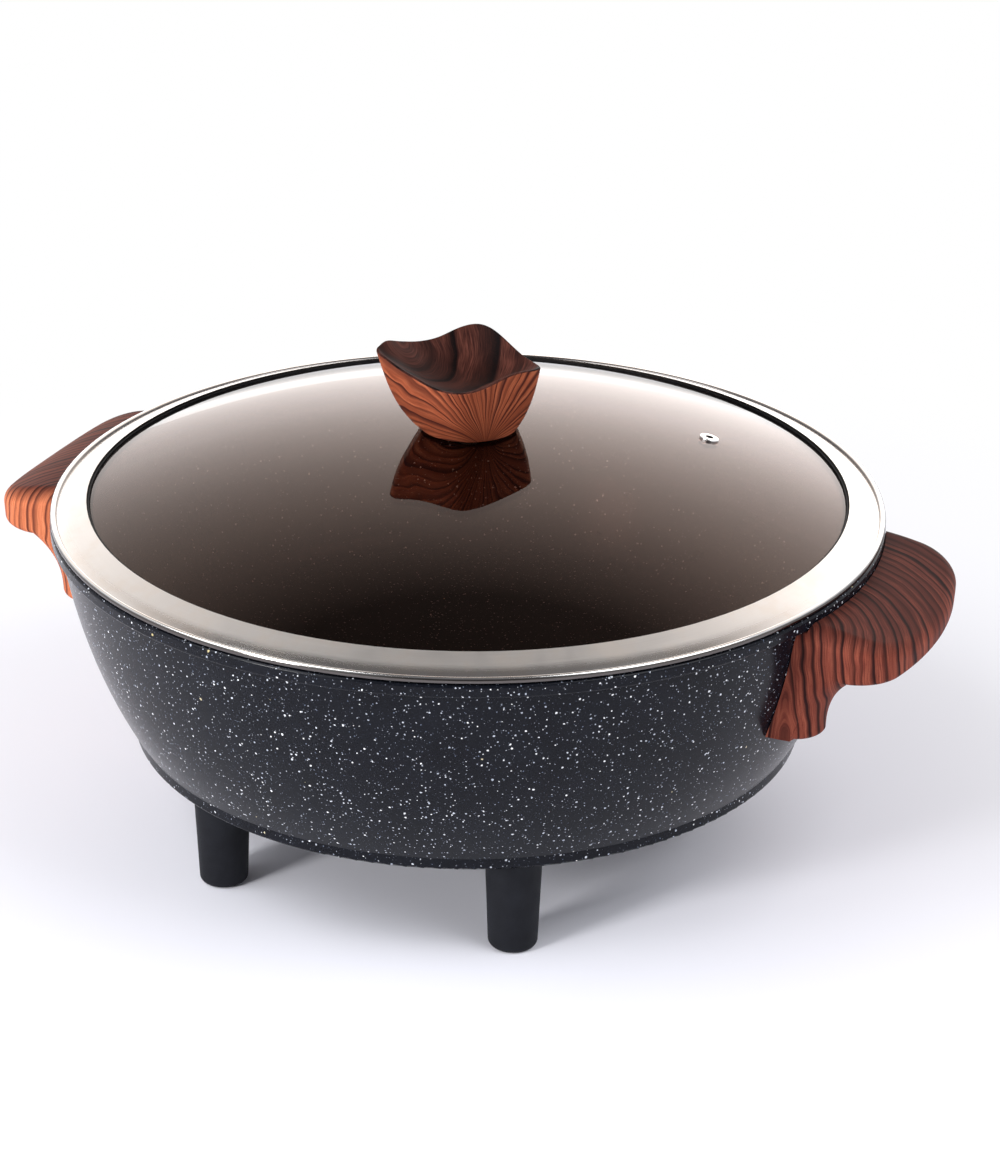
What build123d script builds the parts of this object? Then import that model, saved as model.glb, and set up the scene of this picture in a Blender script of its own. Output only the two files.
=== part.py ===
from build123d import *
from math import asin, atan2, cos, degrees, exp, hypot, radians, remainder, sin, sqrt, tan, tau
from numpy import interp
import os

# Electric hot pot with a lift-off glass lid, in millimetres. The origin is on the table at the
# pot's axis, +X runs along the right handle and +Y to the mains inlet at the back.

# Clearances
GAP = 0.3  # between moulded, cast and pressed pieces
SNUG = 0.1  # round a seated or pressed-in piece

# Legs
LEG_HEIGHT = 41.3
LEG_TOP_R = 10.8
LEG_FOOT_R = 9.15
LEG_EDGE_R = 2.5
LEG_INSET = 18.7  # foot of the wall to a leg's axis
LEG_ANGLE = 58.0  # from the handle axis
LEG_COUNTERBORE_R = 4.5
LEG_COUNTERBORE_DEPTH = 28.0

# Pot body
SKIRT_HEIGHT = 5.0
SKIRT_STEP = 0.6
SKIRT_WIDTH = 4.0
SKIRT_EDGE_R = 1.0
BASE_RECESS = 4.7
FLOOR_THICK = 6.0
FLOOR_CORNER_R = 12.0
FLOOR_INSET = 13.6  # foot of the wall to the edge of the flat floor
POT_HEIGHT = 88.2
BASE_R = 131.6
WALL = 3.2
WALL_TOP_R = 157.7
WALL_TOP_DROP = 1.2
WALL_LOW_ANGLE = 59.7
WALL_LOW_PULL = 24.9
WALL_HIGH_ANGLE = 82.4
WALL_HIGH_PULL = 33.7
RIM_OVERHANG = 2.3
RIM_THICK = 5.0
RIM_EDGE_R = 1.1
RIM_COVE_R = 1.1
LIP_EDGE_R = 0.6

# Lugs that carry the handles
LUG_LENGTH = 15.0  # past the rim
LUG_WIDTH = 64.0
LUG_THICK = 5.0
LUG_DROP = 13.5  # rim top to lug top
LUG_CORNER_R = 8.0
HANDLE_SCREW_OFFSET = 5.0  # rim to screw axis
HANDLE_SCREW_Y = 20.0

# Handles
GRIP_LENGTH = 29.8  # past the rim
GRIP_HALF_WIDTH = 51.0
GRIP_BOW_R = 147.0
GRIP_CORNER_R = 20.0
GRIP_DRAFT = 3.0
GRIP_TOP_DROP = 1.7  # rim top to the top of the grip at the wall
GRIP_UNDER_DROP = 23.3  # rim top to the underside
GRIP_NOSE_HEIGHT = 7.3  # underside to the start of the rolled nose
GRIP_ROOT_DEPTH = 40.0  # rim to the plane where the handle's shapes begin
GRIP_CROWN_DEPTH = 18.0  # rim to the highest line of the grip
GRIP_TOP_PULL = 26.0
GRIP_TOP_ANGLE = 3.0
GRIP_NOSE_PULL = 10.5
GRIP_NOSE_ANGLE = 50.0
GRIP_TOP_ROUND = 7.0
GRIP_UNDER_ROUND = 3.0
FOOT_DROP = 26.6  # underside of the grip to the foot's bottom
FOOT_OFFSET = -2.2  # rim to the foot's face at its bottom
FOOT_FLARE = 13.0  # how far the foot's face runs out on its way up to the grip
FOOT_FLARE_POWER = 3
FOOT_LEVELS = 5
FOOT_CORNER_R = 12.0
FOOT_EDGE_R = 3.0
SADDLE_THICK = 8.5
ARCH_HALF_WIDTH = 36.5
ARCH_CORNER_R = 10.0
FINGER_R = 8.0
FINGER_DEPTH = 3.0
FINGER_INSET = 11.0  # nose of the grip to the middle of the groove
FINGER_HALF_LENGTH = 22.0

# Screws
SCREW_R = 2.0
SCREW_HEAD_R = 4.0
SCREW_HEAD_HEIGHT = 2.6
LEG_SCREW_LENGTH = 19.0
HANDLE_SCREW_LENGTH = 6.5
INLET_SCREW_LENGTH = 7.0
SLOT_WIDTH = 0.9
SLOT_DEPTH = 1.3
HEAD_EDGE_R = 0.8

# Heater and mains inlet
TUBE_R = 4.0
TUBE_INSET = 59.6  # foot of the wall to the heater's ring
TUBE_BEND_R = 14.0
TUBE_STEP_R = 10.0
TUBE_STEP_ANGLE = 50.0
HEATER_RIDGE_WIDTH = 16.0
PIN_X = 12.0
PIN_R = 2.5
INLET_DROP = 8.3  # base plane to the pins
PIN_STEM_R = 2.0
PIN_COLLAR_R = 3.4
PIN_COLLAR = 1.0
PIN_LENGTH = 12.5  # free length past the bush
BUSH_R = 5.5
BUSH_LENGTH = 8.0
BUSH_LEAD = 2.7  # behind the plate
PLATE_INSET = 29.3  # foot of the wall to the plate
PLATE_THICK = 1.5
PLATE_WIDTH = 54.0
SHROUD_WIDTH = 54.0
SHROUD_LENGTH = 18.2
SHROUD_WALL = 2.0
SHROUD_BOTTOM_DROP = 19.3
SHROUD_CORNER_R = 6.0
EAR_LENGTH = 11.0
EAR_DEPTH = 12.0
EAR_CORNER_R = 4.0
PROBE_R = 5.0
PROBE_BORE_R = 4.2
PROBE_LENGTH = 44.0
PROBE_BORE_LENGTH = 42.0
PROBE_BOSS_WALL = 2.1
PROBE_BOSS_LENGTH = 36.0
TAB_WIDTH = 6.0
TAB_THICK = 0.8
TAB_LENGTH = 8.0
TAB_FOOT = 9.0
TAB_X = -21.5
TAB_HOLE_R = 1.1

# Lid
LID_INSET = 0.1  # rim to the lid's edge
BAND_RISE = 6.4  # rim top to the band's upper inner edge
BAND_SLOPE = 20.9
BAND_WIDTH = 14.0
BAND_SHEET = 0.8
HEM_R = 1.2
BAND_SKIRT_PLAY = 3.2  # inside the pot's mouth
BAND_SKIRT_DROP = 8.8
GLASS_LAP = 2.1  # glass under the band
GLASS_THICK = 4.0
GLASS_RISE = 27.1
GLASS_EDGE_R = 0.8
SEAL_LIP = 0.5
SEAL_REVEAL = 1.0
SEAL_UNDER = 1.2
VENT_X = 79.4
VENT_Y = 50.85
VENT_HOLE_R = 1.6
VENT_BARREL_R = 2.4
VENT_FLANGE_R = 3.8
VENT_FLANGE = 0.8
VENT_EDGE_R = 0.35

# Knob and its fastening
KNOB_BASE_R = 18.8
KNOB_FLARE = 0.62
KNOB_CORNERS = [  # plan of the rim, X and Y
    (-30.4, -19.1),
    (-26.2, -1.5),
    (-18.5, 12.9),
    (-7.0, 23.1),
    (9.3, 19.0),
    (27.5, 4.0),
    (23.9, -9.6),
    (11.1, -33.3),
    (-12.8, -29.1),
]
KNOB_RIM_STEPS = 72
KNOB_RIM_HEIGHT = 28.8  # mean height of the rim above the knob's base
KNOB_TILT = 2.3
KNOB_TILT_ANGLE = 168.0
KNOB_WAVE = 2.0
KNOB_WAVE_ANGLE = -26.0
KNOB_CRESTS = [  # raised stretches of the rim: angle, rise and spread of each
    (-148.0, 3.0, 20.0),
    (108.0, 2.2, 28.0),
]
KNOB_DISH_FLOOR = 18.0
KNOB_DISH_STEPS = 7
KNOB_DISH_REACH = 42.0
KNOB_LIP_R = 0.6
KNOB_LEVELS = (0.0, 10.0, 24.0, 42.0)
GASKET_THICK = 0.6
GASKET_INSET = 3.0
LOWER_GASKET_R = 9.0
WASHER_R = 8.0
WASHER_THICK = 1.0
INSERT_R = 3.5
INSERT_LENGTH = 11.0
KNOB_SCREW_R = 2.4
KNOB_SCREW_HEAD_R = 4.6
KNOB_SCREW_HEAD_HEIGHT = 3.0
KNOB_SCREW_BITE = 9.0
KNOB_HOLE_R = 3.4

# Levels and radii worked out from the driving dimensions
BASE_Z = LEG_HEIGHT
RIDGE_Z = BASE_Z + SKIRT_HEIGHT
FLOOR_UNDER_Z = BASE_Z + BASE_RECESS
FLOOR_TOP_Z = FLOOR_UNDER_Z + FLOOR_THICK
RIM_TOP_Z = BASE_Z + POT_HEIGHT
RIM_UNDER_Z = RIM_TOP_Z - RIM_THICK
RIM_R = WALL_TOP_R + RIM_OVERHANG
MOUTH_R = WALL_TOP_R - WALL
FLOOR_R = BASE_R - FLOOR_INSET
LEG_CIRCLE_R = BASE_R - LEG_INSET
WALL_TOP_Z = RIM_TOP_Z - WALL_TOP_DROP
LUG_TOP_Z = RIM_TOP_Z - LUG_DROP
LUG_UNDER_Z = LUG_TOP_Z - LUG_THICK
LUG_REACH = RIM_R + LUG_LENGTH
HANDLE_SCREW_X = RIM_R + HANDLE_SCREW_OFFSET
GRIP_REACH = RIM_R + GRIP_LENGTH
GRIP_ROOT_X = RIM_R - GRIP_ROOT_DEPTH
GRIP_CROWN_X = RIM_R - GRIP_CROWN_DEPTH
GRIP_TOP_Z = RIM_TOP_Z - GRIP_TOP_DROP
GRIP_UNDER_Z = RIM_TOP_Z - GRIP_UNDER_DROP
FOOT_Z = GRIP_UNDER_Z - FOOT_DROP
FOOT_X = RIM_R + FOOT_OFFSET
FOOT_TOP_Z = GRIP_UNDER_Z + GRIP_UNDER_ROUND
FINGER_X = GRIP_REACH - FINGER_INSET
TUBE_Z = BASE_Z + SNUG
LEG_SCREW_TIP_Z = LEG_COUNTERBORE_DEPTH + LEG_SCREW_LENGTH
TUBE_RING_R = BASE_R - TUBE_INSET
INLET_Z = BASE_Z - INLET_DROP
TUBE_TURN = asin((PIN_X + TUBE_BEND_R) / (TUBE_RING_R + TUBE_BEND_R))
TUBE_STEP_Y = (TUBE_RING_R + TUBE_BEND_R) * cos(TUBE_TURN)
TUBE_STEP_RUN = TUBE_STEP_R * tan(radians(TUBE_STEP_ANGLE) / 2)
TUBE_STEP_FALL = (TUBE_Z - INLET_Z) / tan(radians(TUBE_STEP_ANGLE))
PLATE_Y = BASE_R - PLATE_INSET
TUBE_END_Y = PLATE_Y - BUSH_LEAD
BUSH_END_Y = TUBE_END_Y + BUSH_LENGTH
PIN_END_Y = BUSH_END_Y + PIN_LENGTH
PLATE_FRONT_Y = PLATE_Y + PLATE_THICK
SHROUD_TOP_Z = FLOOR_UNDER_Z - PLATE_THICK
SHROUD_BOTTOM_Z = BASE_Z - SHROUD_BOTTOM_DROP
INLET_SCREW_TIP_Z = SHROUD_TOP_Z - SHROUD_WALL + INLET_SCREW_LENGTH
EAR_X = SHROUD_WIDTH / 2 + EAR_LENGTH / 2
EAR_Y = PLATE_FRONT_Y + EAR_DEPTH / 2
PROBE_END_Y = PLATE_FRONT_Y
PROBE_START_Y = PROBE_END_Y - PROBE_LENGTH
BAND_R = RIM_R - LID_INSET
BAND_INNER_R = BAND_R - BAND_WIDTH
BAND_SKIRT_R = MOUTH_R - BAND_SKIRT_PLAY
BAND_EDGE_Z = RIM_TOP_Z + BAND_RISE
BAND_WEB_Z = RIM_TOP_Z + GAP
SHEET_DROP = BAND_SHEET / cos(radians(BAND_SLOPE))
LIP_DROP = SEAL_LIP / cos(radians(BAND_SLOPE))
GLASS_EDGE_Z = BAND_EDGE_Z - SHEET_DROP - LIP_DROP - 2 * SNUG
GLASS_R = BAND_INNER_R + GLASS_LAP
DOME_R = (BAND_INNER_R**2 + GLASS_RISE**2) / (2 * GLASS_RISE)
DOME_Z = GLASS_EDGE_Z + GLASS_RISE
DOME_CENTRE_Z = DOME_Z - DOME_R
SEAL_R = BAND_SKIRT_R - BAND_SHEET - SNUG
KNOB_Z = DOME_Z + GASKET_THICK
DOME_UNDER_Z = DOME_Z - GLASS_THICK
LOWER_GASKET_TOP_Z = DOME_UNDER_Z - SNUG
WASHER_TOP_Z = LOWER_GASKET_TOP_Z - GASKET_THICK
KNOB_SCREW_Z = WASHER_TOP_Z - WASHER_THICK

UP = (Align.CENTER, Align.CENTER, Align.MIN)
DOWN = (Align.CENTER, Align.CENTER, Align.MAX)
CORNER = (Align.MIN, Align.MIN)


def disc(radius, bottom, top):
    """Upright cylinder on the pot's axis between two heights."""
    return Pos(0, 0, bottom) * Cylinder(radius, top - bottom, align=UP)


def ring(inner_r, outer_r, bottom, top):
    """Upright ring on the pot's axis between two heights."""
    return disc(outer_r, bottom, top) - disc(inner_r, bottom, top)


def rod(radius, start_y, end_y):
    """Cylinder lying along Y, on X = 0 at the inlet's height."""
    turned = Rot(-90, 0, 0) * Cylinder(radius, end_y - start_y, align=UP)
    return Pos(0, start_y, INLET_Z) * turned


def block(x, y, z):
    """Box between the pairs of limits given for each axis."""
    size = [high - low for low, high in (x, y, z)]
    middle = [(high + low) / 2 for low, high in (x, y, z)]
    return Pos(*middle) * Box(*size)


def section_box(inner_r, outer_r, bottom, top):
    """Rectangle in the half-section, radius across and height up."""
    return Pos(inner_r, bottom) * Rectangle(outer_r - inner_r, top - bottom, align=CORNER)


def spin(section):
    """Solid of revolution of a half-section about the pot's axis."""
    return revolve(Plane.XZ * section, axis=Axis.Z)


def corners_at(section, radius, height):
    """Corner of a half-section nearest to the given radius and height."""
    return section.vertices().sort_by_distance((radius, height))[0]


def screw(shank_r, head_r, head_height, length):
    """Cross-recessed pan-head screw pointing up, its head's bearing face at the origin."""
    head = Cylinder(head_r, head_height, align=DOWN)
    head = fillet(head.edges().sort_by(Axis.Z)[0], HEAD_EDGE_R)
    for turn in (0, 90):
        slot = Box(head_r * 1.2, SLOT_WIDTH, SLOT_DEPTH, align=UP)
        head -= Pos(0, 0, -head_height) * Rot(0, 0, turn) * slot
    return head + Cylinder(shank_r, length, align=UP)


# ---- Pot body ----


def wall_curve(outward):
    """Outer wall from the foot ridge to the rim, moved outward by a distance."""
    low_way = Vector(cos(radians(WALL_LOW_ANGLE)), sin(radians(WALL_LOW_ANGLE)))
    high_way = Vector(cos(radians(WALL_HIGH_ANGLE)), sin(radians(WALL_HIGH_ANGLE)))
    low = Vector(BASE_R, RIDGE_Z) + Vector(low_way.Y, -low_way.X) * outward
    high = Vector(WALL_TOP_R, WALL_TOP_Z) + Vector(high_way.Y, -high_way.X) * outward
    return Bezier(low, low + low_way * WALL_LOW_PULL, high - high_way * WALL_HIGH_PULL, high)


def wall_section(outward, bottom, top):
    """Half-section inside the wall curve, carried straight to a bottom and a top height."""
    curve = wall_curve(outward)
    low = curve @ 0
    high = curve @ 1
    rest = Polyline(high, (high.X, top), (0, top), (0, bottom), (low.X, bottom), low)
    return make_face(curve + rest)


def cavity():
    """Inside of the pot, with a rounded floor corner."""
    section = wall_section(-WALL, BASE_Z, RIM_TOP_Z + RIM_THICK)
    section -= section_box(0, RIM_R, BASE_Z, FLOOR_TOP_Z)
    corner = corners_at(section, BASE_R, FLOOR_TOP_Z)
    return spin(fillet(corner, FLOOR_CORNER_R))


def shell():
    """Outer form of the bowl: wall and rolled rim, still solid inside."""
    section = wall_section(0, FLOOR_UNDER_Z, RIM_TOP_Z)
    section += section_box(0, RIM_R, RIM_UNDER_Z, RIM_TOP_Z)
    section = fillet(corners_at(section, WALL_TOP_R, RIM_UNDER_Z), RIM_COVE_R)
    section = fillet(corners_at(section, RIM_R, RIM_UNDER_Z), RIM_EDGE_R)
    section = fillet(corners_at(section, RIM_R, RIM_TOP_Z), RIM_EDGE_R)
    return spin(section)


def leg_places():
    """Names and places of the four legs."""
    across = LEG_CIRCLE_R * cos(radians(LEG_ANGLE))
    along = LEG_CIRCLE_R * sin(radians(LEG_ANGLE))
    places = {}
    for row, y in (("front", -along), ("rear", along)):
        for side, x in (("left", -across), ("right", across)):
            places[f"{row}_{side}"] = Pos(x, y, 0)
    return places


def handle_screw_places():
    """Places of the right handle's two screws."""
    return [Pos(HANDLE_SCREW_X, y, 0) for y in (-HANDLE_SCREW_Y, HANDLE_SCREW_Y)]


def inlet_screw_places():
    """Places of the two screws that hold the inlet to the base."""
    return [Pos(x, EAR_Y, 0) for x in (-EAR_X, EAR_X)]


def pot_body():
    """Cast wall and rim of the pot, in to the edge of the flat floor."""
    body = shell() - cavity() - disc(FLOOR_R, BASE_Z, RIM_TOP_Z)
    mouth = body.edges().filter_by(GeomType.CIRCLE).filter_by_position(
        Axis.Z, RIM_TOP_Z - SNUG, RIM_TOP_Z + SNUG
    )
    return fillet(mouth.sort_by(SortBy.RADIUS)[0], LIP_EDGE_R)


def pot_floor():
    """Flat floor of the pot, with blind screw holes in its underside."""
    floor = disc(FLOOR_R, FLOOR_UNDER_Z, FLOOR_TOP_Z)
    for place in leg_places().values():
        floor -= place * disc(SCREW_R + SNUG, BASE_Z, LEG_SCREW_TIP_Z + SNUG)
    for place in inlet_screw_places():
        floor -= place * disc(SCREW_R + SNUG, SHROUD_TOP_Z, INLET_SCREW_TIP_Z + SNUG)
    return floor


def pot_skirt():
    """Foot ring under the wall, standing proud of the floor's underside."""
    skirt_r = BASE_R - SKIRT_STEP
    section = section_box(BASE_R - SKIRT_WIDTH, skirt_r, BASE_Z, FLOOR_UNDER_Z)
    return spin(fillet(corners_at(section, skirt_r, BASE_Z), SKIRT_EDGE_R))


def pot_lugs():
    """Flat tongues on both sides of the pot that carry the handles."""
    slab = RectangleRounded(2 * LUG_REACH, LUG_WIDTH, LUG_CORNER_R)
    tongues = extrude(Pos(0, 0, LUG_UNDER_Z) * slab, LUG_THICK)
    tongues -= spin(wall_section(0, FLOOR_UNDER_Z, RIM_TOP_Z))
    for place in handle_screw_places():
        hole = place * disc(SCREW_R + SNUG, LUG_UNDER_Z, LUG_TOP_Z)
        tongues -= hole + Rot(0, 0, 180) * hole
    return tongues


def leg_seats():
    """Round seats under the floor that carry the legs."""
    seat = ring(SCREW_R + SNUG, LEG_TOP_R, BASE_Z, FLOOR_UNDER_Z)
    return Compound([place * seat for place in leg_places().values()])


def heater_ridge():
    """Ring under the floor that the heater's groove is cut into."""
    half = HEATER_RIDGE_WIDTH / 2
    return ring(TUBE_RING_R - half, TUBE_RING_R + half, TUBE_Z, FLOOR_UNDER_Z)


def heater_seat():
    """Grooved ridge that holds the heater against the floor."""
    return heater_ridge() - heater_tube(TUBE_R + SNUG)


def probe_boss():
    """Boss under the floor round the probe sleeve, notched over the heater's ridge."""
    boss_r = PROBE_R + PROBE_BOSS_WALL
    y = (PROBE_START_Y, PROBE_START_Y + PROBE_BOSS_LENGTH)
    boss = rod(boss_r, *y) + block((-boss_r, boss_r), y, (INLET_Z, FLOOR_UNDER_Z))
    return boss - rod(PROBE_R + SNUG, *y) - heater_ridge()


# ---- Legs ----


def leg():
    """Tapered leg standing at the origin, with a deep counterbore for its screw."""
    body = Cone(LEG_FOOT_R, LEG_TOP_R, LEG_HEIGHT, align=UP)
    body = fillet(body.edges().sort_by(Axis.Z)[0], LEG_EDGE_R)
    body -= disc(LEG_COUNTERBORE_R, 0, LEG_COUNTERBORE_DEPTH)
    return body - disc(SCREW_R + SNUG, 0, LEG_HEIGHT)


def leg_screws():
    """One screw up each leg's counterbore."""
    one = Pos(0, 0, LEG_COUNTERBORE_DEPTH)
    one *= screw(SCREW_R, SCREW_HEAD_R, SCREW_HEAD_HEIGHT, LEG_SCREW_LENGTH)
    return Compound([place * one for place in leg_places().values()])


# ---- Handles ----


def handle_prism(half_width, bottom, top):
    """Bow-fronted plan with rounded corners, drafted inward on its way down."""
    depth = GRIP_REACH - GRIP_ROOT_X
    plan = Pos(GRIP_ROOT_X, 0) * Rectangle(depth, 2 * half_width, align=(Align.MIN, Align.CENTER))
    plan &= Pos(GRIP_REACH - GRIP_BOW_R, 0) * Circle(GRIP_BOW_R)
    plan = fillet(plan.vertices().sort_by(Axis.X)[-2:], GRIP_CORNER_R)
    face = (Pos(0, 0, top) * plan).face()
    return Solid.extrude_taper(face, Vector(0, 0, bottom - top), GRIP_DRAFT)


def grip_top():
    """Side outline under the grip's crowned top, from its underside up."""
    nose_z = GRIP_UNDER_Z + GRIP_NOSE_HEIGHT
    nose_way = Vector(cos(radians(GRIP_NOSE_ANGLE)), -sin(radians(GRIP_NOSE_ANGLE)))
    crown_way = Vector(cos(radians(GRIP_TOP_ANGLE)), -sin(radians(GRIP_TOP_ANGLE)))
    crown = Vector(GRIP_CROWN_X, GRIP_TOP_Z)
    nose = Vector(GRIP_REACH, nose_z)
    top = Bezier(crown, crown + crown_way * GRIP_TOP_PULL, nose - nose_way * GRIP_NOSE_PULL, nose)
    beyond = nose + nose_way * GRIP_NOSE_HEIGHT
    rest = Polyline(nose, beyond, (beyond.X, GRIP_UNDER_Z), (crown.X, GRIP_UNDER_Z), crown)
    return make_face(top + rest)


def grip():
    """Visor-shaped grip: crowned top, rolled nose and softly rounded ends."""
    side = extrude(Plane.XZ * grip_top(), GRIP_REACH, both=True)
    body = side & handle_prism(GRIP_HALF_WIDTH, GRIP_UNDER_Z - GAP, GRIP_TOP_Z + GAP)
    top = body.faces().sort_by(Axis.Z)[-1]
    body = fillet(top.edges().sort_by(Axis.X)[1:], GRIP_TOP_ROUND)
    under = body.faces().sort_by(Axis.Z)[0]
    return fillet(under.edges().sort_by(Axis.X)[1:], GRIP_UNDER_ROUND)


def foot_plan(height):
    """Plan of the feet at a height: drafted ends, round corners and a face that flares out."""
    share = (height - FOOT_Z) / (GRIP_UNDER_Z - FOOT_Z)
    face_x = FOOT_X + FOOT_FLARE * share**FOOT_FLARE_POWER
    half_width = GRIP_HALF_WIDTH - (GRIP_TOP_Z - height) * tan(radians(GRIP_DRAFT))
    size = (face_x - GRIP_ROOT_X, 2 * half_width)
    plan = Pos(GRIP_ROOT_X, 0) * Rectangle(*size, align=(Align.MIN, Align.CENTER))
    plan = fillet(plan.vertices().sort_by(Axis.X)[-2:], FOOT_CORNER_R)
    return Pos(0, 0, height) * plan


def handle_feet():
    """Two lobes that flare up into the grip, before the arch between them is cut."""
    step = (FOOT_TOP_Z - FOOT_Z) / (FOOT_LEVELS - 1)
    body = loft([foot_plan(FOOT_Z + level * step) for level in range(FOOT_LEVELS)])
    bottom = body.faces().sort_by(Axis.Z)[0]
    return fillet(bottom.edges().sort_by(Axis.X)[1:], FOOT_EDGE_R)


def saddle():
    """Plate at each end of the handle that follows the pot's wall down from the grip."""
    ring_solid = spin(wall_section(SADDLE_THICK + GAP, FOOT_Z, RIM_TOP_Z))
    height = (FOOT_Z, GRIP_UNDER_Z + GRIP_NOSE_HEIGHT)
    band = block((GRIP_ROOT_X, GRIP_REACH), (-GRIP_REACH, GRIP_REACH), height)
    return ring_solid & band & handle_prism(GRIP_HALF_WIDTH, FOOT_Z - GAP, GRIP_TOP_Z + GAP)


def arch():
    """Tunnel between the two feet, rounded where it meets the grip's underside."""
    height = GRIP_UNDER_Z - FOOT_Z + GAP
    opening = Pos(0, GRIP_UNDER_Z) * Rectangle(
        2 * ARCH_HALF_WIDTH, height, align=(Align.CENTER, Align.MAX)
    )
    opening = fillet(opening.vertices().sort_by(Axis.Y)[-2:], ARCH_CORNER_R)
    return Pos(GRIP_ROOT_X - 1, 0, 0) * extrude(Plane.YZ * opening, GRIP_REACH - GRIP_ROOT_X)


def finger_groove():
    """Shallow capsule-shaped hollow under the grip for the fingertips."""
    centre_z = GRIP_UNDER_Z + FINGER_DEPTH - FINGER_R
    path = Line((FINGER_X, -FINGER_HALF_LENGTH, centre_z), (FINGER_X, FINGER_HALF_LENGTH, centre_z))
    bar = Pos(FINGER_X, 0, centre_z) * Rot(90, 0, 0) * Cylinder(FINGER_R, path.length)
    for end in (path @ 0, path @ 1):
        bar += Pos(*end) * Sphere(FINGER_R)
    return bar


def lug_pocket():
    """Slot in the handle for the pot's lug, and the stepped holes of its two screws."""
    slab = RectangleRounded(2 * (LUG_REACH + GAP), LUG_WIDTH + 2 * GAP, LUG_CORNER_R + GAP)
    pocket = extrude(Pos(0, 0, LUG_UNDER_Z - GAP) * slab, LUG_THICK + 2 * GAP)
    head_top = GRIP_UNDER_Z + SCREW_HEAD_HEIGHT + GAP
    for place in handle_screw_places():
        pocket += place * disc(SCREW_HEAD_R + GAP, GRIP_UNDER_Z - 1, head_top)
        pocket += place * disc(SCREW_R + SNUG, GRIP_UNDER_Z, LUG_UNDER_Z)
    return pocket


def pot_clearance():
    """Space that a handle leaves for the wall and rim of the pot."""
    section = wall_section(GAP, BASE_Z, RIM_TOP_Z + RIM_THICK)
    section += section_box(0, RIM_R + GAP, RIM_UNDER_Z - GAP, RIM_TOP_Z + RIM_THICK)
    section = fillet(corners_at(section, WALL_TOP_R, RIM_UNDER_Z - GAP), RIM_COVE_R)
    return spin(section)


def handle():
    """Right handle: grip, two feet, saddle plates, arch and lug pocket."""
    body = grip() + handle_feet() + saddle()
    body -= arch()
    body -= finger_groove()
    body -= lug_pocket()
    return body - pot_clearance()


def handle_screws():
    """Right handle's two screws, up through the grip into the lug."""
    one = Pos(0, 0, GRIP_UNDER_Z + SCREW_HEAD_HEIGHT + GAP)
    one *= screw(SCREW_R, SCREW_HEAD_R, SCREW_HEAD_HEIGHT, HANDLE_SCREW_LENGTH)
    return Compound([place * one for place in handle_screw_places()])


# ---- Heater and mains inlet ----


def heater_path():
    """Open ring whose two ends bend back and step down to the inlet."""
    turn = degrees(TUBE_TURN)
    top_y = TUBE_STEP_Y + TUBE_STEP_RUN
    low_y = top_y + TUBE_STEP_FALL
    level = Pos(0, 0, TUBE_Z)
    half_ring = level * CenterArc((0, 0), TUBE_RING_R, -90, 180 - turn)
    bend_centre = (PIN_X + TUBE_BEND_R, TUBE_STEP_Y)
    bend = level * CenterArc(bend_centre, TUBE_BEND_R, 270 - turn, turn - 90)
    step = FilletPolyline(
        (PIN_X, TUBE_STEP_Y, TUBE_Z),
        (PIN_X, top_y, TUBE_Z),
        (PIN_X, low_y, INLET_Z),
        (PIN_X, TUBE_END_Y, INLET_Z),
        radius=TUBE_STEP_R - SNUG,
    )
    half = [*half_ring.edges(), *bend.edges(), *step.edges()]
    return Wire(half + [edge.mirror(Plane.YZ) for edge in half])


def heater_tube(radius):
    """Round bar of the given radius along the heater's path."""
    path = heater_path()
    start = Plane(origin=path @ 0, z_dir=path % 0)
    return sweep(start * Circle(radius), path=path)


def pin_bushes():
    """Ceramic bushes that hold the pins in the inlet plate."""
    bush = rod(BUSH_R, TUBE_END_Y, BUSH_END_Y) - rod(PIN_STEM_R + SNUG, TUBE_END_Y, BUSH_END_Y)
    return Compound([Pos(x, 0, 0) * bush for x in (-PIN_X, PIN_X)])


def inlet_pins():
    """Two contact pins, rounded at their tips, with a collar on the bush and a stem through it."""
    collar_end = BUSH_END_Y + PIN_COLLAR
    pin = rod(PIN_R, collar_end, PIN_END_Y)
    pin = fillet(pin.edges().filter_by(GeomType.CIRCLE).sort_by(Axis.Y)[-1], PIN_R * 0.6)
    pin += rod(PIN_COLLAR_R, BUSH_END_Y, collar_end)
    pin += rod(PIN_STEM_R, TUBE_END_Y, BUSH_END_Y)
    return Compound([Pos(x, 0, 0) * pin for x in (-PIN_X, PIN_X)])


def inlet_plate():
    """Steel plate across the pins, with a flange that screws to the base."""
    half = PLATE_WIDTH / 2
    front = (PLATE_Y, PLATE_FRONT_Y)
    plate = block((-half, half), front, (SHROUD_BOTTOM_Z, FLOOR_UNDER_Z))
    reach = SHROUD_WIDTH / 2 + EAR_LENGTH
    flange_depth = (PLATE_Y, PLATE_FRONT_Y + EAR_DEPTH)
    plate += block((-reach, reach), flange_depth, (SHROUD_TOP_Z, FLOOR_UNDER_Z))
    plate -= rod(PROBE_R + SNUG, *front)
    for x in (-PIN_X, PIN_X):
        plate -= Pos(x, 0, 0) * rod(BUSH_R + SNUG, *front)
    for place in inlet_screw_places():
        plate -= place * disc(SCREW_R + SNUG, SHROUD_TOP_Z, FLOOR_UNDER_Z)
    return plate


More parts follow.
